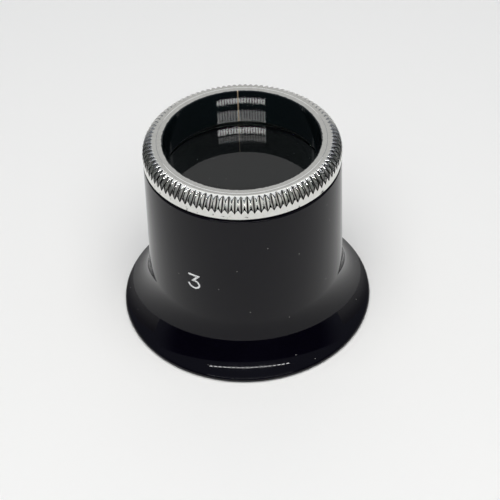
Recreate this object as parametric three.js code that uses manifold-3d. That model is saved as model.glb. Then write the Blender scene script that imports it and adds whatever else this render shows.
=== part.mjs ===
// A watchmaker's loupe: a flared eyecup, a lens that lies on a shoulder inside its tube, and a
// knurled ring that screws into the tube and holds the lens down.
// Millimetres, +Z up. The origin is on the axis, on the flat underside of the eye rim.
import * as THREE from "three";
import { mergeVertices } from "three/addons/utils/BufferGeometryUtils.js";
import Module from "manifold-3d";

const wasm = await Module();
wasm.setup();

// Driving dimensions of the eyecup
const rimDiameter = 37; // over the eye rim
const bodyHeight = 26; // underside of the rim to the top of the tube
const tubeDraft = 1.8; // degrees by which the tube widens towards the eye
const flareAngle = 58; // degrees from the axis, where the flare meets the rounded rim
const rimEdgeRadius = 0.5; // rounding of the rim's upper edge
const rimFootRadius = 0.4; // rounding of the two edges of the underside
const wall = 2; // of the tube and the flare
const tubeTopRadius = 0.25; // rounding of the tube's top edge
const lipWidth = 1; // how far the lens shoulder reaches in under the lens
const lipThickness = 1.1;
const threadWall = 1.05; // left outside the thread
const threadLedge = 0.55; // step from the lens pocket out to the thread's bore

// Driving dimensions of the lens, flat on its outer side and convex towards the eye
const lensDiameter = 23;
const lensEdge = 1.8; // thickness at the edge
const lensChamfer = 0.2;
const focalLength = 76.2; // three inches
const glassIndex = 1.523; // crown glass

// Driving dimensions of the ring, which is flush with the tube
const lensCover = 0.75; // how far the ring reaches in over the lens
const flangeHeight = 2.85; // the part that stands on the tube
const shoulderRadius = 1.65; // rounding of the flat top's outer edge
const skirtLength = 2.45; // from the flange down to the lens
const ringChamfer = 0.15;
const knurlCount = 100;
const knurlAngle = 80; // degrees between the two sides of a groove
const knurlStart = 0.03; // depth below the top at which a groove starts
const knurlEnd = 1.9; // and at which it runs out

// Driving dimensions of the screw thread, right-handed
const threadPitch = 0.75;
const threadDepth = 0.35;
const threadCrest = 0.12; // flat top of the ridge
const threadFlank = 30; // degrees
const threadRelief = 0.3; // plain stretch at each end of the skirt

// Clearances
const flangeGap = 0.3; // the ring bears on the lens, not on the tube
const lensGap = 0.25; // above and below the lens
const lensPlay = 0.15; // round the lens
const threadClearance = 0.08;

// Fineness of the faceted surfaces
const roundSteps = 64;
const lensSteps = 56;
const threadSteps = 36; // in one turn
const flareSteps = 9;
const edgeSteps = 4;
const shoulderSteps = 4;
const lensRings = 6;

// Radii and heights that follow from the driving dimensions
const rimRadius = rimDiameter / 2;
const lensRadius = lensDiameter / 2;
const apertureRadius = lensRadius - lensCover;
const pocketRadius = lensRadius + lensPlay;
const threadBoreRadius = pocketRadius + threadLedge;
const ridgeRootRadius = threadBoreRadius - threadClearance;
const ridgeCrestRadius = ridgeRootRadius + threadDepth;
const grooveRootRadius = ridgeCrestRadius + threadClearance;
const tubeRadius = grooveRootRadius + threadWall;
const flangeFloor = bodyHeight + flangeGap;
const ringTop = flangeFloor + flangeHeight;
const skirtEnd = flangeFloor - skirtLength;
const lensTop = skirtEnd - lensGap;
const lensCurve = (glassIndex - 1) * focalLength; // radius of a plano-convex lens's curved side
const sag = (r) => lensCurve - Math.sqrt(lensCurve ** 2 - r ** 2);
const lensVertex = lensTop - lensEdge - sag(lensRadius);
const lipRadius = lensRadius - lipWidth;
const lipTop = lensVertex + sag(lipRadius) - lensGap;
const lipFloor = lipTop - lipThickness;

const radians = THREE.MathUtils.degToRad;
const point = (r, z) => new THREE.Vector2(r, z);

// Points on an arc round a centre, from one angle to another in degrees, both ends included.
function arc(centre, radius, from, to, steps) {
  return Array.from({ length: steps + 1 }, (_, i) => {
    const a = radians(from + ((to - from) * i) / steps);
    return point(centre.x + radius * Math.cos(a), centre.y + radius * Math.sin(a));
  });
}

// A profile in radius and height, turned round the Z axis.
function turned(profile, steps) {
  return new THREE.LatheGeometry(profile, steps).rotateX(Math.PI / 2);
}

// A closed profile, counter-clockwise with the radius to the right, turned round the Z axis.
function turnedRing(profile, steps) {
  return turned([...profile, profile[0].clone()], steps);
}

function toSolid(geometry) {
  const bare = geometry.clone();
  bare.deleteAttribute("normal");
  bare.deleteAttribute("uv");
  const merged = mergeVertices(bare);
  const vertProperties = merged.attributes.position.array;
  const triVerts = new Uint32Array(merged.index.array);
  return new wasm.Manifold(new wasm.Mesh({ numProp: 3, vertProperties, triVerts }));
}

function toGeometry(solid) {
  const { vertProperties, triVerts } = solid.getMesh();
  const geometry = new THREE.BufferGeometry();
  geometry.setAttribute("position", new THREE.BufferAttribute(vertProperties, 3));
  geometry.setIndex(new THREE.BufferAttribute(triVerts, 1));
  geometry.computeVertexNormals();
  return geometry;
}

// A section in radius and height, counter-clockwise, carried up a right-handed helix round the Z axis.
function helix(section, startTurn, turns) {
  const steps = Math.ceil(turns * threadSteps);
  const count = section.length;
  const positions = [];
  for (let i = 0; i <= steps; i++) {
    const turn = startTurn + (turns * i) / steps;
    const angle = 2 * Math.PI * turn;
    for (const { x: r, y: z } of section)
      positions.push(r * Math.cos(angle), r * Math.sin(angle), z + threadPitch * turn);
  }
  const faces = [];
  for (let i = 0; i < steps; i++)
    for (let j = 0; j < count; j++) {
      const a = i * count + j;
      const b = i * count + ((j + 1) % count);
      faces.push(a, a + count, b + count, a, b + count, b);
    }
  const last = steps * count;
  for (let j = 1; j < count - 1; j++) {
    faces.push(0, j, j + 1);
    faces.push(last, last + j + 1, last + j);
  }
  const geometry = new THREE.BufferGeometry();
  geometry.setAttribute("position", new THREE.Float32BufferAttribute(positions, 3));
  geometry.setIndex(faces);
  return geometry;
}

// The thread's ridge as a section about height 0, widened all round by a clearance.
function ridgeSection(innerRadius, outerRadius, clearance) {
  const slope = Math.tan(radians(threadFlank));
  const crest = threadCrest / 2 + clearance / Math.cos(radians(threadFlank));
  const inner = crest + (ridgeCrestRadius - innerRadius) * slope;
  const outer = crest + (ridgeCrestRadius - outerRadius) * slope;
  return [
    point(innerRadius, -inner),
    point(outerRadius, -outer),
    point(outerRadius, outer),
    point(innerRadius, inner),
  ];
}

// Where the ridge's middle starts and ends, in turns of a helix that has height 0 at turn 0.
const ridgeHalfBase = threadCrest / 2 + threadDepth * Math.tan(radians(threadFlank));
const ridgeStart = (skirtEnd + threadRelief + ridgeHalfBase) / threadPitch;
const ridgeEnd = (flangeFloor - threadRelief - ridgeHalfBase) / threadPitch;

// The eyecup: a drafted tube that sweeps out into the eye rim, with the lens shoulder and the thread inside.
function eyecupBody() {
  const draft = radians(tubeDraft);
  const flare = radians(flareAngle);
  const rimCentre = point(rimRadius - rimEdgeRadius, rimFootRadius);
  // The sweep's radius is the one that makes tube, sweep and rounded rim meet without a corner.
  const slope = Math.tan(draft);
  const reach = rimCentre.x + rimEdgeRadius * Math.cos(flare) - tubeRadius;
  const drop = bodyHeight - rimCentre.y - rimEdgeRadius * Math.sin(flare);
  const sweepRadius =
    (reach - drop * slope) / (Math.cos(draft) - Math.cos(flare) - (Math.sin(flare) - Math.sin(draft)) * slope);
  const sweepCentre = point(
    rimCentre.x + (sweepRadius + rimEdgeRadius) * Math.cos(flare),
    rimCentre.y + (sweepRadius + rimEdgeRadius) * Math.sin(flare),
  );
  const innerRadius = sweepRadius + wall;
  const innerEnd = THREE.MathUtils.radToDeg(Math.asin((sweepCentre.y - rimFootRadius) / innerRadius));
  const outerSweep = arc(sweepCentre, sweepRadius, 180 + flareAngle, 180 + tubeDraft, flareSteps);
  const innerSweep = arc(sweepCentre, innerRadius, 180 + tubeDraft, 180 + innerEnd, flareSteps);
  const innerTop = innerSweep[0].x - (lipFloor - innerSweep[0].y) * slope;
  const foot = innerSweep.at(-1);
  const profile = [
    point(foot.x + rimFootRadius, 0),
    ...arc(point(rimRadius - rimFootRadius, rimFootRadius), rimFootRadius, -90, 0, 2),
    ...arc(rimCentre, rimEdgeRadius, 0, flareAngle, edgeSteps).slice(1),
    ...outerSweep.slice(1),
    ...arc(point(tubeRadius - tubeTopRadius, bodyHeight - tubeTopRadius), tubeTopRadius, tubeDraft, 90, 2),
    point(threadBoreRadius, bodyHeight),
    point(threadBoreRadius, lensTop),
    point(pocketRadius, lensTop),
    point(pocketRadius, lipTop),
    point(lipRadius, lipTop),
    point(lipRadius, lipFloor),
    point(innerTop, lipFloor),
    ...innerSweep,
  ];
  // The groove starts a little before the ridge and runs out through the top of the tube.
  const slack = (2 * threadClearance) / threadPitch;
  const grooveStart = ridgeStart - slack;
  const grooveEnd = bodyHeight / threadPitch + 1;
  const section = ridgeSection(threadBoreRadius - threadClearance, grooveRootRadius, threadClearance);
  const groove = toSolid(helix(section, grooveStart, grooveEnd - grooveStart));
  return toGeometry(toSolid(turnedRing(profile, roundSteps)).subtract(groove));
}

// The lens: ground flat on the outer side, with the curve that gives the focal length towards the eye.
function lens() {
  const profile = Array.from({ length: lensRings + 1 }, (_, i) => {
    const r = (lensRadius * i) / lensRings;
    return point(r, lensVertex + sag(r));
  });
  profile.push(point(lensRadius, lensTop - lensChamfer));
  profile.push(point(lensRadius - lensChamfer, lensTop));
  profile.push(point(0, lensTop));
  return turned(profile, lensSteps);
}

// One V groove of the knurl at azimuth 0: a triangle whose point is drawn along a straight line, which
// lies deepest under the middle of the rounded shoulder and comes out at both ends.
function knurlCutter(start, end) {
  const run = new THREE.Vector3(end.x - start.x, 0, end.y - start.y);
  const overrun = knurlStart;
  const depth = run.length() + 2 * overrun;
  const along = run.normalize();
  const across = new THREE.Vector3(0, 1, 0);
  const outward = new THREE.Vector3().crossVectors(along, across);
  const height = shoulderRadius; // always more than the shoulder stands out over the line
  const halfWidth = height * Math.tan(radians(knurlAngle / 2));
  const triangle = new THREE.Shape([point(0, 0), point(halfWidth, height), point(-halfWidth, height)]);
  const geometry = new THREE.ExtrudeGeometry(triangle, { depth, bevelEnabled: false });
  geometry.translate(0, 0, -overrun);
  return geometry.applyMatrix4(
    new THREE.Matrix4().makeBasis(across, outward, along).setPosition(start.x, 0, start.y),
  );
}

// The ring: a knurled flange on the tube, and a threaded skirt whose end holds the lens down.
function knurledRing() {
  const shoulder = point(tubeRadius - shoulderRadius, ringTop - shoulderRadius);
  const surfaceAt = (below) => {
    const rise = Math.max(shoulderRadius - below, 0);
    return point(shoulder.x + Math.sqrt(shoulderRadius ** 2 - rise ** 2), ringTop - below);
  };
  const profile = [
    point(apertureRadius, skirtEnd),
    point(ridgeRootRadius - ringChamfer, skirtEnd),
    point(ridgeRootRadius, skirtEnd + ringChamfer),
    point(ridgeRootRadius, flangeFloor),
    point(tubeRadius - ringChamfer, flangeFloor),
    point(tubeRadius, flangeFloor + ringChamfer),
    ...arc(shoulder, shoulderRadius, 0, 90, shoulderSteps),
    point(apertureRadius + ringChamfer, ringTop),
    point(apertureRadius, ringTop - ringChamfer),
  ];
  let solid = toSolid(turnedRing(profile, knurlCount));
  for (let i = 0; i < knurlCount; i++) {
    const turn = (2 * Math.PI * (i + 0.5)) / knurlCount;
    const cutter = knurlCutter(surfaceAt(knurlStart), surfaceAt(knurlEnd)).rotateZ(turn);
    solid = solid.subtract(toSolid(cutter));
  }
  const section = ridgeSection(ridgeRootRadius - threadClearance, ridgeCrestRadius, 0);
  return toGeometry(solid.add(toSolid(helix(section, ridgeStart, ridgeEnd - ridgeStart))));
}

const glossBlack = new THREE.MeshStandardMaterial({ color: 0x0b0b0e, roughness: 0.12, metalness: 0 });
const chrome = new THREE.MeshStandardMaterial({ color: 0xc9cac8, roughness: 0.12, metalness: 1 });
const glass = new THREE.MeshStandardMaterial({
  color: 0xe8f0ec,
  roughness: 0.02,
  metalness: 0,
  transparent: true,
  opacity: 0.35,
});

function piece(name, geometry, material) {
  const mesh = new THREE.Mesh(geometry, material);
  mesh.name = name;
  return mesh;
}

const loupe = new THREE.Group();
loupe.add(piece("eyecup_body", eyecupBody(), glossBlack));
loupe.add(piece("lens", lens(), glass));
loupe.add(piece("knurled_ring", knurledRing(), chrome));

export default loupe;
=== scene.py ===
# A watchmaker's loupe: fine surfaces, print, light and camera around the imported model.
import math

import bpy
from mathutils import Matrix, Vector


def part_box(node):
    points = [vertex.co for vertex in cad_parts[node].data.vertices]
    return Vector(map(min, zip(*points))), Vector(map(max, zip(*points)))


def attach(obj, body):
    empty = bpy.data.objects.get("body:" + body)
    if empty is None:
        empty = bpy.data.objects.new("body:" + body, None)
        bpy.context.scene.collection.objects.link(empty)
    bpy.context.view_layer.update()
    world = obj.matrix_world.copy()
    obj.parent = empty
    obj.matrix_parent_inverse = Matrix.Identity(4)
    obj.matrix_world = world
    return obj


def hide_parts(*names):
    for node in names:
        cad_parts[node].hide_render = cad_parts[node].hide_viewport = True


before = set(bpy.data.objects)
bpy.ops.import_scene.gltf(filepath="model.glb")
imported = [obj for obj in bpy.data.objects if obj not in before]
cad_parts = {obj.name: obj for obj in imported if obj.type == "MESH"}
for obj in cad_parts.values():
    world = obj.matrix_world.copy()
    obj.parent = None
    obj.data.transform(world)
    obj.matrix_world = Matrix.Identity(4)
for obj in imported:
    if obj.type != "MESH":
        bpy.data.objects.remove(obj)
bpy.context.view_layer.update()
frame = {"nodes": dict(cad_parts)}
mm = 0.001  # settings are in millimetres and degrees, the scene is in metres
seamGap = 0.002 * mm  # points closer than this are one point
print("frame loaded:", ", ".join(frame["nodes"]))


def nodeReach(node):
    # outer radius, lowest and highest point of a CAD node
    low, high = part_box(node)
    return high[0] / mm, low[2] / mm, high[2] / mm


rimRadius, rimFloor, tubeTop = nodeReach("eyecup_body")
lensRadius, lensVertex, lensTop = nodeReach("lens")
ringRadius, skirtEnd, ringTop = nodeReach("knurled_ring")


# Outlines are lists of (radius, height)

def arc(centre, radius, start, end, steps):
    angles = [math.radians(start + (end - start) * i / steps) for i in range(steps + 1)]
    return [(centre[0] + radius * math.cos(angle), centre[1] + radius * math.sin(angle)) for angle in angles]


def between(start, end, steps):
    # points on a straight stretch, without its two ends
    shares = [i / steps for i in range(1, steps)]
    return [(start[0] + (end[0] - start[0]) * share, start[1] + (end[1] - start[1]) * share)
            for share in shares]


def drawOutline(name, outline):
    # a small plane drawn together to one point, which is then extruded along the outline
    bpy.ops.object.select_all(action="DESELECT")
    bpy.ops.mesh.primitive_plane_add(size=mm, location=(outline[0][0] * mm, 0, outline[0][1] * mm))
    piece = bpy.context.object
    piece.name = name
    piece.data.name = name
    bpy.ops.object.mode_set(mode="EDIT")
    bpy.ops.mesh.merge(type="CENTER")
    for here, there in zip(outline, outline[1:]):
        step = ((there[0] - here[0]) * mm, 0, (there[1] - here[1]) * mm)
        bpy.ops.mesh.extrude_region_move(TRANSFORM_OT_translate={"value": step})
    bpy.ops.mesh.select_all(action="SELECT")
    return piece


def spinAround(steps, angle=360, copies=False):
    bpy.ops.mesh.spin(steps=steps, dupli=copies, angle=math.radians(angle), center=(0, 0, 0), axis=(0, 0, 1))


def closeMesh():
    # merges the seams and poles, turns the faces outwards and puts the place into the mesh
    bpy.ops.mesh.select_all(action="SELECT")
    bpy.ops.mesh.remove_doubles(threshold=seamGap)
    bpy.ops.mesh.normals_make_consistent(inside=False)
    bpy.ops.object.mode_set(mode="OBJECT")
    bpy.ops.object.transform_apply(location=True, rotation=True, scale=True)


def makeActive(piece):
    bpy.ops.object.select_all(action="DESELECT")
    piece.select_set(True)
    bpy.context.view_layer.objects.active = piece


def applyModifier(piece, kind, **settings):
    makeActive(piece)
    modifier = piece.modifiers.new(kind.title(), kind)
    for key, value in settings.items():
        setattr(modifier, key, value)
    bpy.ops.object.modifier_apply(modifier=modifier.name)


def smoothFaces(piece, angle):
    makeActive(piece)
    bpy.ops.object.shade_smooth_by_angle(angle=math.radians(angle))


def dress(piece, material, body, node=None):
    piece.data.materials.clear()
    piece.data.materials.append(material)
    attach(piece, body)
    if node:
        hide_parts(node)
    print("made", piece.name, len(piece.data.polygons), "faces")


# Materials

def linear(hexColour):
    # an sRGB hex colour as the linear colour that a shader takes
    channels = [int(hexColour[i:i + 2], 16) / 255 for i in (1, 3, 5)]
    return [c / 12.92 if c <= 0.04045 else ((c + 0.055) / 1.055) ** 2.4 for c in channels] + [1]


def setInputs(tree, node, inputs):
    for key, value in inputs.items():
        if isinstance(value, bpy.types.NodeSocket):
            tree.links.new(value, node.inputs[key])
        else:
            node.inputs[key].default_value = value


def addNode(tree, kind, inputs=None, **settings):
    node = tree.nodes.new(kind)
    for key, value in settings.items():
        setattr(node, key, value)
    setInputs(tree, node, inputs or {})
    return node


def newMaterial(name):
    material = bpy.data.materials.new(name)
    material.use_nodes = True
    tree = material.node_tree
    place = addNode(tree, "ShaderNodeTexCoord").outputs["Object"]
    return material, tree, place


def setShader(tree, inputs):
    setInputs(tree, tree.nodes["Principled BSDF"], inputs)


def perMetre(size):
    # texture scale for features of a size in millimetres
    return 1 / (size * mm)


def axisDistance(tree, split):
    flat = addNode(tree, "ShaderNodeCombineXYZ", {"X": split["X"], "Y": split["Y"]}).outputs[0]
    return addNode(tree, "ShaderNodeVectorMath", {0: flat}, operation="LENGTH").outputs["Value"]


def speckShare(tree, place, look):
    # 1 in a scattered speck, 0 outside it, with a soft edge
    cells = addNode(tree, "ShaderNodeTexVoronoi", {"Vector": place, "Scale": perMetre(look["speckGap"])})
    core, edge = look["speckCore"] / look["speckGap"], look["speckRadius"] / look["speckGap"]
    return addNode(tree, "ShaderNodeMapRange",
                   {"Value": cells.outputs["Distance"], "From Min": core, "From Max": edge, "To Min": 1,
                    "To Max": 0}).outputs["Result"]


def blackMoulding():
    # Phenolic moulding, polished: deep gloss black with a faint blue cast, hazed a little by handling,
    # with fine lint and pinhead scuffs.
    look = {"black": "#030208", "haze": "#07060e", "speck": "#a2a29d", "gloss": 0.025, "hazed": 0.08,
            "hazeSize": 5, "hazeFrom": 0.3, "hazeFull": 0.75, "speckGap": 1.75, "speckRadius": 0.075,
            "speckCore": 0.045, "specular": 0.2, "ior": 1.55}
    material, tree, place = newMaterial("polished black phenolic")
    haze = addNode(tree, "ShaderNodeTexNoise",
                   {"Vector": place, "Scale": perMetre(look["hazeSize"]), "Detail": 5}).outputs["Fac"]
    speck = speckShare(tree, place, look)
    tone = addNode(tree, "ShaderNodeMixRGB", {"Fac": haze, "Color1": linear(look["black"]),
                                              "Color2": linear(look["haze"])}).outputs["Color"]
    colour = addNode(tree, "ShaderNodeMixRGB", {"Fac": speck, "Color1": tone,
                                                "Color2": linear(look["speck"])}).outputs["Color"]
    gloss = addNode(tree, "ShaderNodeMapRange",
                    {"Value": haze, "From Min": look["hazeFrom"], "From Max": look["hazeFull"],
                     "To Min": look["gloss"], "To Max": look["hazed"]}).outputs["Result"]
    rough = addNode(tree, "ShaderNodeMath", {0: gloss, 1: speck}, operation="MAXIMUM").outputs[0]
    setShader(tree, {"Base Color": colour, "Roughness": rough, "Specular IOR Level": look["specular"],
                     "IOR": look["ior"]})
    return material


# the dark brown colour in this table is painted shade along the groove roots, with some grime, and also the
# colour of the scuffs on the band
plateLook = {"plate": "#e4e4e1", "dull": "#cfcfca", "gloss": 0.06, "scuffed": 0.18, "wearFrom": 0.3,
             "wearFull": 0.8, "scuffsAndShade": "#1c1410", "knurled": 0.32, "grooveFrom": 0.04, "grooveFull": 0.45,
             "rootFade": 5, "rootLine": 0.17, "rootCore": 0.068, "scuffSize": 0.7, "scuffFrom": 0.62,
             "scuffFull": 0.68, "paint": "#0c1517", "paintGloss": 0.02, "paintSheen": 1, "paintOver": 0.028,
             "chipSize": 0.35, "chipReach": 0.28, "scratch": "#bda98e", "scratchAcross": -0.34,
             "scratchWidth": 0.15, "lineStep": 0.16, "lineDepth": 0.0003, "burrSize": 0.15,
             "burrDepth": 0.035}


def grooveShare(tree, split, radius):
    # from 0 on the ring's plain rounded surface to 1 at the bottom of its grooves
    look = plateLook
    outward = addNode(tree, "ShaderNodeMath", {0: radius, 1: shoulderCentre[0] * mm},
                      operation="SUBTRACT", use_clamp=True).outputs[0]
    upward = addNode(tree, "ShaderNodeMath", {0: split["Z"], 1: shoulderCentre[1] * mm},
                     operation="SUBTRACT", use_clamp=True).outputs[0]
    corner = addNode(tree, "ShaderNodeCombineXYZ", {"X": outward, "Y": upward}).outputs[0]
    reach = addNode(tree, "ShaderNodeVectorMath", {0: corner}, operation="LENGTH").outputs["Value"]
    depth = addNode(tree, "ShaderNodeMapRange",
                    {"Value": reach, "From Min": (ring["shoulder"] - look["grooveFrom"]) * mm,
                     "From Max": (ring["shoulder"] - look["grooveFull"]) * mm}).outputs["Result"]
    onFlange = addNode(tree, "ShaderNodeMath", {0: split["Z"], 1: flangeFloor * mm},
                       operation="GREATER_THAN").outputs[0]
    return addNode(tree, "ShaderNodeMath", {0: depth, 1: onFlange}, operation="MULTIPLY").outputs[0]


def rootShare(tree, split):
    # a line along the root of each groove, found by its angle round the ring: painted shade, with some grime
    turn = addNode(tree, "ShaderNodeMath", {0: split["Y"], 1: split["X"]}, operation="ARCTAN2").outputs[0]
    sector = addNode(tree, "ShaderNodeMath", {0: turn, 1: ring["knurls"] / (2 * math.pi)},
                     operation="MULTIPLY").outputs[0]
    share = addNode(tree, "ShaderNodeMath", {0: sector}, operation="FRACT").outputs[0]
    signed = addNode(tree, "ShaderNodeMath", {0: share, 1: 1 / 2}, operation="SUBTRACT").outputs[0]
    offRoot = addNode(tree, "ShaderNodeMath", {0: signed}, operation="ABSOLUTE").outputs[0]
    return addNode(tree, "ShaderNodeMapRange",
                   {"Value": offRoot, "From Min": plateLook["rootCore"], "From Max": plateLook["rootLine"],
                    "To Min": 1, "To Max": 0}).outputs["Result"]


def scuffShare(tree, split, dirt):
    # small dark scuffs on the plain band under the knurl
    onBand = addNode(tree, "ShaderNodeMath", {0: split["Z"], 1: bandTop * mm},
                     operation="LESS_THAN").outputs[0]
    scuff = addNode(tree, "ShaderNodeMapRange", {"Value": dirt, "From Min": plateLook["scuffFrom"],
                                                 "From Max": plateLook["scuffFull"]}).outputs["Result"]
    return addNode(tree, "ShaderNodeMath", {0: onBand, 1: scuff}, operation="MULTIPLY").outputs[0]


def paintShare(tree, place, radius):
    # the bore and a ragged edge of paint on the flat top
    look = plateLook
    chips = addNode(tree, "ShaderNodeTexNoise",
                    {"Vector": place, "Scale": perMetre(look["chipSize"]), "Detail": 3}).outputs["Fac"]
    ragged = addNode(tree, "ShaderNodeMath", {0: chips, 1: -look["chipReach"] * mm, 2: radius},
                     operation="MULTIPLY_ADD").outputs[0]
    return addNode(tree, "ShaderNodeMath", {0: ragged, 1: (aperture + look["paintOver"]) * mm},
                   operation="LESS_THAN").outputs[0]


def scratchShare(tree, split):
    # one scratch down through the paint
    across, half = plateLook["scratchAcross"] * mm, plateLook["scratchWidth"] / 2 * mm
    aside = addNode(tree, "ShaderNodeMath", {0: split["X"], 1: across, 2: half},
                    operation="COMPARE").outputs[0]
    behind = addNode(tree, "ShaderNodeMath", {0: split["Y"], 1: 0}, operation="GREATER_THAN").outputs[0]
    return addNode(tree, "ShaderNodeMath", {0: aside, 1: behind}, operation="MULTIPLY").outputs[0]


def plateRelief(tree, place, split, radius, groove):
    # height of the turning lines, and of the burrs that rolling leaves in the grooves
    look = plateLook
    course = addNode(tree, "ShaderNodeMath", {0: radius, 1: split["Z"]}, operation="ADD").outputs[0]
    turns = addNode(tree, "ShaderNodeMath", {0: course, 1: 2 * math.pi * perMetre(look["lineStep"])},
                    operation="MULTIPLY").outputs[0]
    wave = addNode(tree, "ShaderNodeMath", {0: turns}, operation="SINE").outputs[0]
    lines = addNode(tree, "ShaderNodeMath", {0: wave, 1: look["lineDepth"]}, operation="MULTIPLY").outputs[0]
    burr = addNode(tree, "ShaderNodeTexNoise",
                   {"Vector": place, "Scale": perMetre(look["burrSize"]), "Detail": 2}).outputs["Fac"]
    burrHere = addNode(tree, "ShaderNodeMath", {0: burr, 1: groove}, operation="MULTIPLY").outputs[0]
    return addNode(tree, "ShaderNodeMath", {0: burrHere, 1: look["burrDepth"], 2: lines},
                   operation="MULTIPLY_ADD").outputs[0]


def chromePlate():
    # Bright plate on turned and rolled brass: mirror-like with fine turning lines on the flat top, painted
    # shade with some grime along the roots of the knurl's grooves, and black paint in the bore that has
    # chipped along its upper edge.
    look = plateLook
    material, tree, place = newMaterial("bright plated brass with a painted bore")
    split = addNode(tree, "ShaderNodeSeparateXYZ", {0: place}).outputs
    radius = axisDistance(tree, split)
    dirt = addNode(tree, "ShaderNodeTexNoise",
                   {"Vector": place, "Scale": perMetre(look["scuffSize"]), "Detail": 6}).outputs["Fac"]
    groove = grooveShare(tree, split, radius)
    deep = addNode(tree, "ShaderNodeMath", {0: groove, 1: look["rootFade"]}, operation="MULTIPLY",
                   use_clamp=True).outputs[0]
    # painted shade: the root of each groove darkened, more where the groove is deeper, with some grime
    rootShade = addNode(tree, "ShaderNodeMath", {0: rootShare(tree, split), 1: deep},
                   operation="MULTIPLY").outputs[0]
    # one dark colour for the painted shade in the groove roots and for the scuffs on the band
    scuffsAndShade = addNode(tree, "ShaderNodeMath", {0: rootShade, 1: scuffShare(tree, split, dirt)},
                    operation="MAXIMUM").outputs[0]
    painted = paintShare(tree, place, radius)
    metal = addNode(tree, "ShaderNodeMath", {0: 1, 1: painted}, operation="SUBTRACT").outputs[0]
    coat = addNode(tree, "ShaderNodeMixRGB",
                   {"Fac": scratchShare(tree, split), "Color1": linear(look["paint"]),
                    "Color2": linear(look["scratch"])}).outputs["Color"]
    plate = addNode(tree, "ShaderNodeMixRGB", {"Fac": dirt, "Color1": linear(look["plate"]),
                                               "Color2": linear(look["dull"])}).outputs["Color"]
    scuffedAndShaded = addNode(tree, "ShaderNodeMixRGB", {"Fac": scuffsAndShade, "Color1": plate,
                                                "Color2": linear(look["scuffsAndShade"])}).outputs["Color"]
    colour = addNode(tree, "ShaderNodeMixRGB", {"Fac": painted, "Color1": scuffedAndShaded,
                                                "Color2": coat}).outputs["Color"]
    worn = addNode(tree, "ShaderNodeMapRange",
                   {"Value": dirt, "From Min": look["wearFrom"], "From Max": look["wearFull"],
                    "To Min": look["gloss"], "To Max": look["scuffed"]}).outputs["Result"]
    bare = addNode(tree, "ShaderNodeMix", {"Factor": deep, "A": worn,
                                           "B": look["knurled"]}).outputs["Result"]
    rough = addNode(tree, "ShaderNodeMix", {"Factor": painted, "A": bare,
                                            "B": look["paintGloss"]}).outputs["Result"]
    height = plateRelief(tree, place, split, radius, groove)
    relief = addNode(tree, "ShaderNodeMath", {0: height, 1: metal}, operation="MULTIPLY").outputs[0]
    bump = addNode(tree, "ShaderNodeBump", {"Height": relief, "Strength": 1,
                                            "Distance": mm}).outputs["Normal"]
    setShader(tree, {"Base Color": colour, "Metallic": metal, "Roughness": rough,
                     "Specular IOR Level": look["paintSheen"], "Normal": bump})
    return material


def crownGlass():
    # Crown glass, polished faces and a ground edge: clear with a cold tint, frosted at its edge, with a few
    # specks.
    look = {"tint": "#aeb8ac", "ground": 0.45, "edge": 0.12, "speckGap": 1.1, "speckRadius": 0.04,
            "speckCore": 0.024, "ior": 1.523}
    material, tree, place = newMaterial("polished crown glass")
    split = addNode(tree, "ShaderNodeSeparateXYZ", {0: place}).outputs
    radius = axisDistance(tree, split)
    ground = addNode(tree, "ShaderNodeMath", {0: radius, 1: (lensRadius - look["edge"]) * mm},
                     operation="GREATER_THAN").outputs[0]
    frost = addNode(tree, "ShaderNodeMath", {0: ground, 1: speckShare(tree, place, look)},
                    operation="MAXIMUM").outputs[0]
    rough = addNode(tree, "ShaderNodeMath", {0: frost, 1: look["ground"]}, operation="MULTIPLY").outputs[0]
    setShader(tree, {"Base Color": linear(look["tint"]), "Roughness": rough, "Transmission Weight": 1,
                     "IOR": look["ior"]})
    return material


def whitePrint():
    # Stamped white enamel ink: matte and a little uneven, so the black shows faintly through.
    look = {"ink": "#f7f8f7", "thin": "#d9dbda", "patch": 0.35, "satin": 0.4, "matte": 0.65}
    material, tree, place = newMaterial("stamped white enamel ink")
    patch = addNode(tree, "ShaderNodeTexNoise",
                    {"Vector": place, "Scale": perMetre(look["patch"]), "Detail": 3}).outputs["Fac"]
    colour = addNode(tree, "ShaderNodeMixRGB", {"Fac": patch, "Color1": linear(look["ink"]),
                                                "Color2": linear(look["thin"])}).outputs["Color"]
    rough = addNode(tree, "ShaderNodeMapRange", {"Value": patch, "To Min": look["satin"],
                                                 "To Max": look["matte"]}).outputs["Result"]
    setShader(tree, {"Base Color": colour, "Roughness": rough})
    return material


# Screw thread shared by the ring and the eyecup

thread = {"pitch": 0.75, "crest": 0.12, "flank": 30, "depth": 0.35, "clearance": 0.08, "relief": 0.3,
          "ledge": 0.55, "lensPlay": 0.15, "flangeGap": 0.3, "cutterRunout": 1, "stepsPerTurn": 96}
flangeFloor = tubeTop + thread["flangeGap"]  # the ring bears on the lens, not on the tube
threadBore = lensRadius + thread["lensPlay"] + thread["ledge"]
ridgeRoot = threadBore - thread["clearance"]
ridgeCrest = ridgeRoot + thread["depth"]
flankSlope = math.tan(math.radians(thread["flank"]))
halfBase = thread["crest"] / 2 + thread["depth"] * flankSlope
ridgeStart = (skirtEnd + thread["relief"] + halfBase) / thread["pitch"]  # in turns, as is its end
ridgeEnd = (flangeFloor - thread["relief"] - halfBase) / thread["pitch"]


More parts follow.
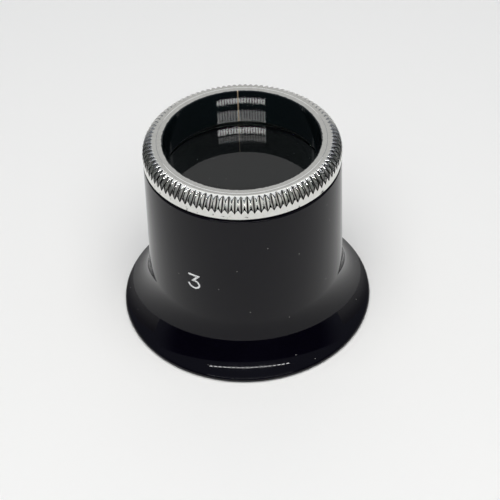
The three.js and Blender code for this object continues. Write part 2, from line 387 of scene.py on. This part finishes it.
def threadRidge(name, inner, outer, clearance, startTurn, endTurn):
    # the ridge's section carried up a right-handed helix, its two ends filled
    crest = thread["crest"] / 2 + clearance / math.cos(math.radians(thread["flank"]))
    low = crest + (ridgeCrest - inner) * flankSlope
    high = crest + (ridgeCrest - outer) * flankSlope
    middle = thread["pitch"] * startTurn
    section = [(inner, middle - low), (outer, middle - high), (outer, middle + high), (inner, middle + low)]
    piece = drawOutline(name, section + section[:1])
    closeMesh()
    turns = endTurn - startTurn
    steps = math.ceil(turns * thread["stepsPerTurn"])
    applyModifier(piece, "SCREW", axis="Z", angle=2 * math.pi * turns, steps=steps, render_steps=steps,
                  screw_offset=thread["pitch"] * turns * mm, use_merge_vertices=False)
    piece.rotation_euler.z = 2 * math.pi * startTurn
    bpy.ops.object.mode_set(mode="EDIT")
    bpy.ops.mesh.select_all(action="SELECT")
    bpy.ops.mesh.fill_holes(sides=len(section))
    closeMesh()
    return piece


def combine(piece, tool, operation):
    applyModifier(piece, "BOOLEAN", object=tool, operation=operation, solver="EXACT")
    bpy.data.objects.remove(tool)


# Lens

lens = {"edge": 1.8, "chamfer": 0.2, "rings": 40, "turns": 192, "smoothing": 20}


def lensSag(radius):
    # how far the lens's curved side has risen at a radius
    rise = lensTop - lens["edge"] - lensVertex
    curve = (lensRadius ** 2 + rise ** 2) / (2 * rise)
    return curve - math.sqrt(curve ** 2 - radius ** 2)


def makeLens():
    radii = [lensRadius * i / lens["rings"] for i in range(lens["rings"] + 1)]
    outline = [(radius, lensVertex + lensSag(radius)) for radius in radii]
    chamfer = lens["chamfer"]
    outline += [(lensRadius, lensTop - chamfer), (lensRadius - chamfer, lensTop), (0, lensTop)]
    piece = drawOutline("loupe_lens", outline)
    spinAround(lens["turns"])
    closeMesh()
    smoothFaces(piece, lens["smoothing"])
    dress(piece, crownGlass(), "lens", "lens")


# Eyecup

eyecup = {"tubeDraft": 1.8, "flareAngle": 58, "rimEdge": 0.5, "rimFoot": 0.4, "wall": 2, "topEdge": 0.25,
          "lipWidth": 1, "lipThickness": 1.1, "lensGap": 0.25, "turns": 192, "smoothing": 35,
          "edgeSteps": 8, "rimSteps": 16, "sweepSteps": 48, "insideSteps": 32}


def sweepArc():
    # centre and radius of the arc that lets tube, sweep and rounded rim meet without a corner
    edge = eyecup["rimEdge"]
    draft, flare = math.radians(eyecup["tubeDraft"]), math.radians(eyecup["flareAngle"])
    rimCentre = rimRadius - edge
    reach = rimCentre + edge * math.cos(flare) - ringRadius
    drop = tubeTop - eyecup["rimFoot"] - edge * math.sin(flare)
    slope = math.tan(draft)
    lean = math.cos(draft) - math.cos(flare) - (math.sin(flare) - math.sin(draft)) * slope
    sweep = (reach - drop * slope) / lean
    away = sweep + edge
    return (rimCentre + away * math.cos(flare), eyecup["rimFoot"] + away * math.sin(flare)), sweep


def eyecupOutline():
    draft, flare = eyecup["tubeDraft"], eyecup["flareAngle"]
    foot, rimEdge, topEdge = eyecup["rimFoot"], eyecup["rimEdge"], eyecup["topEdge"]
    centre, sweep = sweepArc()
    innerSweep = sweep + eyecup["wall"]
    innerEnd = math.degrees(math.asin((centre[1] - foot) / innerSweep))
    inside = arc(centre, innerSweep, 180 + draft, 180 + innerEnd, eyecup["insideSteps"])
    lipRadius = lensRadius - eyecup["lipWidth"]
    lipTop = lensVertex + lensSag(lipRadius) - eyecup["lensGap"]
    lipFloor = lipTop - eyecup["lipThickness"]
    pocket = lensRadius + thread["lensPlay"]
    innerTop = inside[0][0] - (lipFloor - inside[0][1]) * math.tan(math.radians(draft))
    outline = [(inside[-1][0] + foot, rimFloor)]
    outline += arc((rimRadius - foot, foot), foot, -90, 0, eyecup["edgeSteps"])
    outline += arc((rimRadius - rimEdge, foot), rimEdge, 0, flare, eyecup["rimSteps"])[1:]
    outline += arc(centre, sweep, 180 + flare, 180 + draft, eyecup["sweepSteps"])[1:]
    outline += arc((ringRadius - topEdge, tubeTop - topEdge), topEdge, draft, 90, eyecup["edgeSteps"])
    outline += [(threadBore, tubeTop), (threadBore, lensTop), (pocket, lensTop), (pocket, lipTop),
                (lipRadius, lipTop), (lipRadius, lipFloor), (innerTop, lipFloor)]
    return outline + inside + outline[:1]


def makeEyecup():
    piece = drawOutline("eyecup_shell", eyecupOutline())
    spinAround(eyecup["turns"])
    closeMesh()
    slack = 2 * thread["clearance"] / thread["pitch"]
    cutterEnd = tubeTop / thread["pitch"] + thread["cutterRunout"]
    groove = threadRidge("thread_cutter", threadBore - thread["clearance"], ridgeCrest + thread["clearance"],
                         thread["clearance"], ridgeStart - slack, cutterEnd)
    combine(piece, groove, "DIFFERENCE")
    smoothFaces(piece, eyecup["smoothing"])
    dress(piece, blackMoulding(), "eyecup", "eyecup_body")
    return piece


# Ring

ring = {"lensCover": 0.75, "shoulder": 1.65, "chamfer": 0.15, "knurls": 100, "knurlStart": 0.004,
        "knurlEnd": 1.9, "knurlAngle": 77, "crestRounding": 0.025, "rootRounding": 0.03,
        "leastPress": 0.0025, "scribeRadius": 11.6, "scribeWidth": 0.09, "scribeDepth": 0.018,
        "flatFrom": 0.03, "boreEdge": 0.08, "columns": 14, "bandSteps": 8, "shoulderSteps": 30,
        "smoothing": 30}
aperture = lensRadius - ring["lensCover"]
shoulderCentre = (ringRadius - ring["shoulder"], ringTop - ring["shoulder"])
bandTop = ringTop - ring["knurlEnd"] - ring["chamfer"]


def ringOutline():
    chamfer, line = ring["chamfer"], ring["scribeRadius"]
    outline = [(aperture, skirtEnd), (ridgeRoot - chamfer, skirtEnd), (ridgeRoot, skirtEnd + chamfer),
               (ridgeRoot, flangeFloor), (ringRadius - chamfer, flangeFloor),
               (ringRadius, flangeFloor + chamfer), (ringRadius, bandTop)]
    outline += between((ringRadius, bandTop), (ringRadius, shoulderCentre[1]), ring["bandSteps"])
    outline += arc(shoulderCentre, ring["shoulder"], 0, 90, ring["shoulderSteps"])
    # a fine line scribed into the flat top, with points close beside it that keep the top's shading flat
    half = ring["scribeWidth"] / 2
    beside = half + ring["flatFrom"]
    outline += [(line + beside, ringTop), (line + half, ringTop), (line, ringTop - ring["scribeDepth"]),
                (line - half, ringTop), (line - beside, ringTop)]
    outline += [(aperture + ring["boreEdge"], ringTop), (aperture, ringTop - ring["boreEdge"])]
    return outline + outline[:1]


def shoulderPoint(below):
    # the ring's plain surface at a depth below its top
    rise = max(ring["shoulder"] - below, 0)
    return Vector((shoulderCentre[0] + math.sqrt(ring["shoulder"] ** 2 - rise ** 2), ringTop - below))


def pressGroove(piece):
    # one V groove in the middle of the sector, along a straight line that comes out at both ends
    start, end = shoulderPoint(ring["knurlStart"]), shoulderPoint(ring["knurlEnd"])
    along = (end - start).normalized()
    outward = Vector((-along.y, along.x))
    steepness = 1 / math.tan(math.radians(ring["knurlAngle"] / 2))
    middle = math.pi / ring["knurls"]
    for vertex in piece.data.vertices:
        x, y, z = vertex.co / mm
        radius, turn = math.hypot(x, y), math.atan2(y, x)  # below zero, as a spin goes clockwise
        height = (Vector((radius, z)) - start).dot(outward)
        aside = math.hypot(radius * (turn + middle), ring["rootRounding"])
        over = height - aside * steepness
        depth = (over + math.hypot(over, ring["crestRounding"])) / 2
        if depth > ring["leastPress"]:
            radius -= depth * outward.x
            z -= depth * outward.y
            vertex.co = Vector((radius * math.cos(turn), radius * math.sin(turn), z)) * mm


def makeRing():
    piece = drawOutline("plated_ring", ringOutline())
    sector = 360 / ring["knurls"]
    spinAround(ring["columns"], sector)
    bpy.ops.object.mode_set(mode="OBJECT")
    bpy.ops.object.transform_apply(location=True, rotation=True, scale=True)
    pressGroove(piece)
    bpy.ops.object.mode_set(mode="EDIT")
    bpy.ops.mesh.select_all(action="SELECT")
    spinAround(ring["knurls"] - 1, 360 - sector, copies=True)
    closeMesh()
    ridge = threadRidge("thread_ridge", ridgeRoot - thread["clearance"], ridgeCrest, 0, ridgeStart, ridgeEnd)
    combine(piece, ridge, "UNION")
    smoothFaces(piece, ring["smoothing"])
    dress(piece, chromePlate(), "ring", "knurled_ring")


# Numeral, a plain power number

numeral = {"azimuth": -121.2, "height": 14.17, "stroke": 0.31, "barLeft": -0.92, "barRight": 0.7,
           "barHeight": 1.04, "barDip": 0.02, "waist": (-0.12, 0.08), "bowlCentre": (-0.04, -0.58),
           "bowlWidth": 0.87, "bowlHeight": 0.68, "bowlStart": 80, "bowlEnd": -178, "lift": 0.006,
           "ink": 0.012, "standOff": 1, "lineSteps": 8, "bowlSteps": 28}


def numeralStroke():
    # a flat-topped three: bar, slanting neck and round bowl, in millimetres across and up
    left = (numeral["barLeft"], numeral["barHeight"] - numeral["barDip"])
    right = (numeral["barRight"], numeral["barHeight"])
    points = [left] + between(left, right, numeral["lineSteps"]) + [right]
    points += between(right, numeral["waist"], numeral["lineSteps"]) + [numeral["waist"]]
    # the bowl is a round arc made wider and lower
    bowl = arc((0, 0), 1, numeral["bowlStart"], numeral["bowlEnd"], numeral["bowlSteps"])
    middle, width, height = numeral["bowlCentre"], numeral["bowlWidth"], numeral["bowlHeight"]
    return points + [(middle[0] + width * across, middle[1] + height * up) for across, up in bowl]


def addPath(name, points):
    # an open curve of straight steps through points given in millimetres
    bpy.ops.object.select_all(action="DESELECT")
    bpy.ops.curve.primitive_nurbs_path_add(radius=mm)
    path = bpy.context.object
    path.name = name
    path.data.splines.clear()
    line = path.data.splines.new("POLY")
    line.points.add(len(points) - 1)
    for point, (across, up) in zip(line.points, points):
        point.co = (across * mm, up * mm, 0, 1)
    return path


def makeNumeral(shell):
    half = numeral["stroke"] / 2
    nib = addPath("numeral_nib", [(-half, 0), (half, 0)])
    piece = addPath("printed_numeral", numeralStroke())
    piece.data.dimensions = "2D"
    piece.data.fill_mode = "NONE"
    piece.data.bevel_mode = "OBJECT"
    piece.data.bevel_object = nib
    makeActive(piece)
    bpy.ops.object.convert(target="MESH")
    piece = bpy.context.object
    bpy.data.objects.remove(nib)
    # stood upright in front of the tube, then laid on it
    turn = math.radians(numeral["azimuth"])
    outward = Vector((math.cos(turn), math.sin(turn), 0))
    across = Vector((-math.sin(turn), math.cos(turn), 0))
    up = Vector((0, 0, 1))
    place = Matrix((across, up, outward)).transposed().to_4x4()
    place.translation = (outward * (ringRadius + numeral["standOff"]) + up * numeral["height"]) * mm
    piece.matrix_world = place
    bpy.ops.object.transform_apply(location=True, rotation=True, scale=True)
    applyModifier(piece, "SHRINKWRAP", target=shell, offset=numeral["lift"] * mm,
                  wrap_method="NEAREST_SURFACEPOINT", wrap_mode="ABOVE_SURFACE")
    applyModifier(piece, "SOLIDIFY", thickness=numeral["ink"] * mm, offset=0)
    dress(piece, whitePrint(), "eyecup")


# Floor, light and camera

stage = {"floor": "#f2f2f0", "floorSize": 3000, "floorDrop": 0.02, "matte": 0.9, "matteSheen": 0.1,
         "white": "#ffffff", "black": "#000000", "surround": "#d8dfee", "surroundGlow": 0.31,
         "fillGlow": 3.6, "fillSize": (450, 450), "fillAt": (-150, 450), "fillColour": "#fffdfa",
         "topGlow": 0.82, "topSize": (1500, 850), "topAt": (275, 900),
         "wallAway": 1200, "wallWidth": 1000, "wallHeight": 1900, "wallGlow": 0.58,
         "flagAway": 165, "flagAngle": 180, "flagFade": 70, "flagTop": 118,
         "coveAway": 320, "coveBack": 380, "coveWidth": 800, "coveHeight": 125,
         "coveFoot": 0.5, "coveTop": 0.2,
         "bandSteps": 36, "rowAngle": 76, "lamps": 18, "lampShare": 0.6}
# each row's distance, height, width and glow
lampRows = {"first_lamp_row": (120, 114.3, 1.45, 60), "second_lamp_row": (136, 131.8, 3.8, 24),
            "third_lamp_row": (152.3, 149.5, 1.9, 65), "fourth_lamp_row": (162.5, 160.6, 2, 14)}


def plainMaterial(name, colour, glow=0):
    material, tree = newMaterial(name)[:2]
    setShader(tree, {"Base Color": linear(colour), "Roughness": stage["matte"],
                     "Specular IOR Level": stage["matteSheen"], "Emission Color": linear(stage["white"]),
                     "Emission Strength": glow})
    return material


def coveMaterial():
    # a side card, bright along the floor and fading upwards, so the flare mirrors the floor with a soft end
    material, tree, place = newMaterial("fading side card")
    rise = addNode(tree, "ShaderNodeSeparateXYZ", {0: place}).outputs["Y"]
    # a card is one unit high before it is scaled
    glow = addNode(tree, "ShaderNodeMapRange", {"Value": rise, "From Min": -1 / 2, "From Max": 1 / 2,
                                                "To Min": stage["coveFoot"], "To Max": stage["coveTop"]},
                   interpolation_type="SMOOTHSTEP").outputs["Result"]
    setShader(tree, {"Base Color": linear(stage["black"]), "Emission Color": linear(stage["white"]),
                     "Emission Strength": glow})
    return material


def flagMaterial():
    # a black card whose two ends rise to the surround's tone, so its mirror image ends softly
    material, tree, place = newMaterial("black card with fading ends")
    back = addNode(tree, "ShaderNodeSeparateXYZ", {0: place}).outputs["Y"]  # 0 at the half circle's ends
    glow = addNode(tree, "ShaderNodeMapRange",
                   {"Value": back, "From Min": -stage["flagFade"] * mm, "From Max": 0, "To Min": 0,
                    "To Max": stage["surroundGlow"]}, interpolation_type="SMOOTHSTEP").outputs["Result"]
    setShader(tree, {"Base Color": linear(stage["black"]), "Specular IOR Level": 0,
                     "Emission Color": linear(stage["surround"]), "Emission Strength": glow})
    return material


def lampMaterial(name, strength):
    # a row of small lamps: bright squares with dark between them
    material, tree, place = newMaterial(name)
    split = addNode(tree, "ShaderNodeSeparateXYZ", {0: place}).outputs
    turn = addNode(tree, "ShaderNodeMath", {0: split["Y"], 1: split["X"]}, operation="ARCTAN2").outputs[0]
    count = addNode(tree, "ShaderNodeMath", {0: turn, 1: stage["lamps"] / math.radians(stage["rowAngle"])},
                    operation="MULTIPLY").outputs[0]
    share = addNode(tree, "ShaderNodeMath", {0: count}, operation="FRACT").outputs[0]
    lit = addNode(tree, "ShaderNodeMath", {0: share, 1: stage["lampShare"]},
                  operation="LESS_THAN").outputs[0]
    glow = addNode(tree, "ShaderNodeMath", {0: lit, 1: strength}, operation="MULTIPLY").outputs[0]
    setShader(tree, {"Base Color": linear(stage["black"]), "Emission Color": linear(stage["white"]),
                     "Emission Strength": glow})
    return material


def addCard(name, size, at, turn, material, shown):
    bpy.ops.object.select_all(action="DESELECT")
    bpy.ops.mesh.primitive_plane_add(size=1, location=[place * mm for place in at],
                                     rotation=[math.radians(angle) for angle in turn])
    card = bpy.context.object
    card.name = name
    card.scale = (size[0] * mm, size[1] * mm, 1)
    card.data.materials.append(material)
    card.visible_camera = shown
    return card


def addBand(name, low, high, angle, material):
    # a card bent on an arc round the front of the loupe, between two edges given as distance and height
    band = drawOutline(name, [low, high])
    spinAround(stage["bandSteps"], angle)
    closeMesh()
    band.rotation_euler.z = math.radians(angle / 2 - 90)  # brings its middle to the front
    band.data.materials.append(material)
    band.visible_camera = False
    return band


def addLampRow(name, away, height, width, glow):
    # a narrow band turned to face the loupe
    lean = math.atan2(height, away)
    half = Vector((-math.sin(lean), math.cos(lean))) * width / 2
    middle = Vector((away, height))
    return addBand(name, middle - half, middle + half, stage["rowAngle"], lampMaterial(name, glow))


def addSoftbox(name, size, at, glow):
    # an area light that faces the loupe, its power worked out from the brightness of its face
    bpy.ops.object.select_all(action="DESELECT")
    back, height = at
    bpy.ops.object.light_add(type="AREA", location=(0, back * mm, height * mm),
                             rotation=(math.atan2(-back, height), 0, 0))
    light = bpy.context.object
    light.name = name
    light.data.shape = "RECTANGLE"
    light.data.size, light.data.size_y = size[0] * mm, size[1] * mm
    light.data.energy = glow * math.pi * size[0] * mm * size[1] * mm
    light.visible_camera = False
    light.visible_transmission = False
    return light


def makeSurround():
    world = bpy.data.worlds.new("plain studio")
    world.use_nodes = True
    setInputs(world.node_tree, world.node_tree.nodes["Background"],
              {"Color": linear(stage["surround"]), "Strength": stage["surroundGlow"]})
    bpy.context.scene.world = world
    addCard("floor", (stage["floorSize"], stage["floorSize"]), (0, 0, -stage["floorDrop"]), (0, 0, 0),
            plainMaterial("matte pale floor", stage["floor"]), True)
    wall = addCard("back_wall", (stage["wallWidth"], stage["wallHeight"]),
                   (0, stage["wallAway"], stage["wallHeight"] / 2), (90, 0, 0),
                   plainMaterial("bright screen", stage["black"], stage["wallGlow"]), False)
    wall.visible_transmission = False


def makeReflectionCards():
    # the flag, the side cards and the lamps are only there for the reflections
    flagFoot, flagTop = (stage["flagAway"], 0), (stage["flagAway"], stage["flagTop"])
    cards = [addBand("front_flag", flagFoot, flagTop, stage["flagAngle"], flagMaterial())]
    cove = coveMaterial()
    for side, name in ((-1, "left_cove"), (1, "right_cove")):
        at = (side * stage["coveAway"], stage["coveBack"], stage["coveHeight"] / 2)
        cards.append(addCard(name, (stage["coveWidth"], stage["coveHeight"]), at, (90, 0, 90), cove, False))
    # the rows stand behind one another as the flare sees them, and apart as the bore sees them
    for name, row in lampRows.items():
        cards.append(addLampRow(name, *row))
    for card in cards:
        card.visible_diffuse = False
        card.visible_shadow = False
        card.visible_transmission = False


def makeStage():
    makeSurround()
    makeReflectionCards()
    fill = addSoftbox("fill_softbox", stage["fillSize"], stage["fillAt"], stage["fillGlow"])
    fill.data.color = linear(stage["fillColour"])[:3]
    fill.visible_glossy = False  # it lights the floor and the print
    ceiling = addSoftbox("top_softbox", stage["topSize"], stage["topAt"], stage["topGlow"])
    ceiling.visible_diffuse = False  # it shows only in reflections
    bpy.context.scene.view_settings.view_transform = "Standard"
    print("stage set")


# the focal length and the frame are in pixels of the picture
camera = {"away": 123.386, "height": 124.567, "pan": 0.2727, "pitch": 43.3064, "roll": -1.9916,
          "focal": 1150, "frame": 500, "sensor": 36}


def makeCamera():
    pan, pitch, roll = (math.radians(camera[key]) for key in ("pan", "pitch", "roll"))
    forward = Vector((math.sin(pan) * math.cos(pitch), math.cos(pan) * math.cos(pitch), -math.sin(pitch)))
    level = Vector((math.cos(pan), -math.sin(pan), 0))
    upright = level.cross(forward)
    right = level * math.cos(roll) + upright * math.sin(roll)
    up = upright * math.cos(roll) - level * math.sin(roll)
    bpy.ops.object.select_all(action="DESELECT")
    bpy.ops.object.camera_add()
    view = bpy.context.object
    view.data.sensor_width = camera["sensor"]
    view.data.lens = camera["focal"] / camera["frame"] * camera["sensor"]
    view.data.clip_start = mm
    place = Matrix((right, up, -forward)).transposed().to_4x4()
    place.translation = Vector((0, -camera["away"], camera["height"])) * mm
    view.matrix_world = place
    bpy.context.scene.camera = view
    print("camera set, lens", round(view.data.lens, 1))


makeCamera()
makeStage()
shell = makeEyecup()
makeLens()
makeRing()
makeNumeral(shell)
